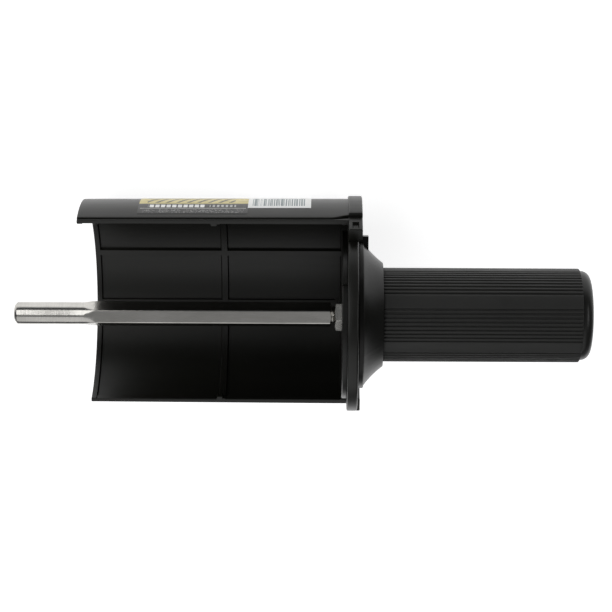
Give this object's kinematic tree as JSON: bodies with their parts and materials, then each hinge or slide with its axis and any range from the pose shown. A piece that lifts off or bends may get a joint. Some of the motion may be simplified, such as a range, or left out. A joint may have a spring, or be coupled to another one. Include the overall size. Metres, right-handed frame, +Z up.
{
  "type": "rotary brush handle",
  "caption": "Drill-driven rotary brush handle: hexagonal brush spindle on ball bearings, half-round guard that turns between two plates, and a ribbed grip.",
  "frame": {"origin": "on the spindle's axis, where the drill shank's tip bevel ends and its full diameter starts, 1.2 mm from the tip", "axes": "+X along the spindle from the drill shank to the end of the grip, +Z up away from the guard's middle"},
  "size_m": [0.2561, 0.1038, 0.0965],
  "materials": {
    "bright_steel": "turned and drawn bright steel",
    "plated_steel": "zinc plated",
    "bearing_steel": "ground and polished",
    "shield_steel": "pressed, satin",
    "screw_steel": "black oxide",
    "spring_steel": "oiled phosphate",
    "cage_nylon": "natural nylon",
    "insert_nylon": "blue nylon",
    "hub_plastic": "satin black moulding",
    "plate_plastic": "satin black moulding",
    "guard_plastic": "satin black moulding",
    "cap_plastic": "satin black moulding",
    "grip_rubber": "fine ribbed soft grip",
    "friction_rubber": "matt",
    "label_film": "printed film, gold and black",
    "sticker_paper": "white paper, printed"
  },
  "bodies": {
    "handle": {"handle_hub": "hub_plastic", "retaining_plate": "plate_plastic", "plate_screws": "screw_steel", "friction_ring": "friction_rubber", "circlip": "spring_steel", "grip_sleeve": "grip_rubber", "end_cap": "cap_plastic", "front_bearing_outer_race": "bearing_steel", "front_bearing_shields": "shield_steel", "rear_bearing_outer_race": "bearing_steel", "rear_bearing_shields": "shield_steel"},
    "spindle": {"spindle_bar": "bright_steel", "jam_nut": "plated_steel", "front_washer": "plated_steel", "spacer_tube": "plated_steel", "rear_washer": "plated_steel", "lock_nut": "plated_steel", "lock_nut_insert": "insert_nylon", "front_bearing_inner_race": "bearing_steel", "rear_bearing_inner_race": "bearing_steel"},
    "front_ball_set": {"front_bearing_balls": "bearing_steel", "front_bearing_cage": "cage_nylon"},
    "rear_ball_set": {"rear_bearing_balls": "bearing_steel", "rear_bearing_cage": "cage_nylon"},
    "guard": {"guard_shell": "guard_plastic", "guard_label": "label_film", "code_sticker": "sticker_paper"}
  },
  "joints": [
    {"name": "spindle_spin", "type": "hinge", "parent": "handle", "child": "spindle", "pos_m": [0.15, 0, 0], "axis": [1, 0, 0], "continuous": true},
    {"name": "front_balls_roll", "type": "hinge", "parent": "handle", "child": "front_ball_set", "pos_m": [0.1499, 0, 0], "axis": [1, 0, 0], "continuous": true},
    {"name": "rear_balls_roll", "type": "hinge", "parent": "handle", "child": "rear_ball_set", "pos_m": [0.2323, 0, 0], "axis": [1, 0, 0], "continuous": true},
    {"name": "guard_turn", "type": "hinge", "parent": "handle", "child": "guard", "pos_m": [0.1489, 0, 0], "axis": [1, 0, 0], "continuous": true}
  ],
  "couplings": [
    {"joint": "front_balls_roll", "follows": "spindle_spin", "ratio": 0.3677},
    {"joint": "rear_balls_roll", "follows": "spindle_spin", "ratio": 0.3677}
  ]
}
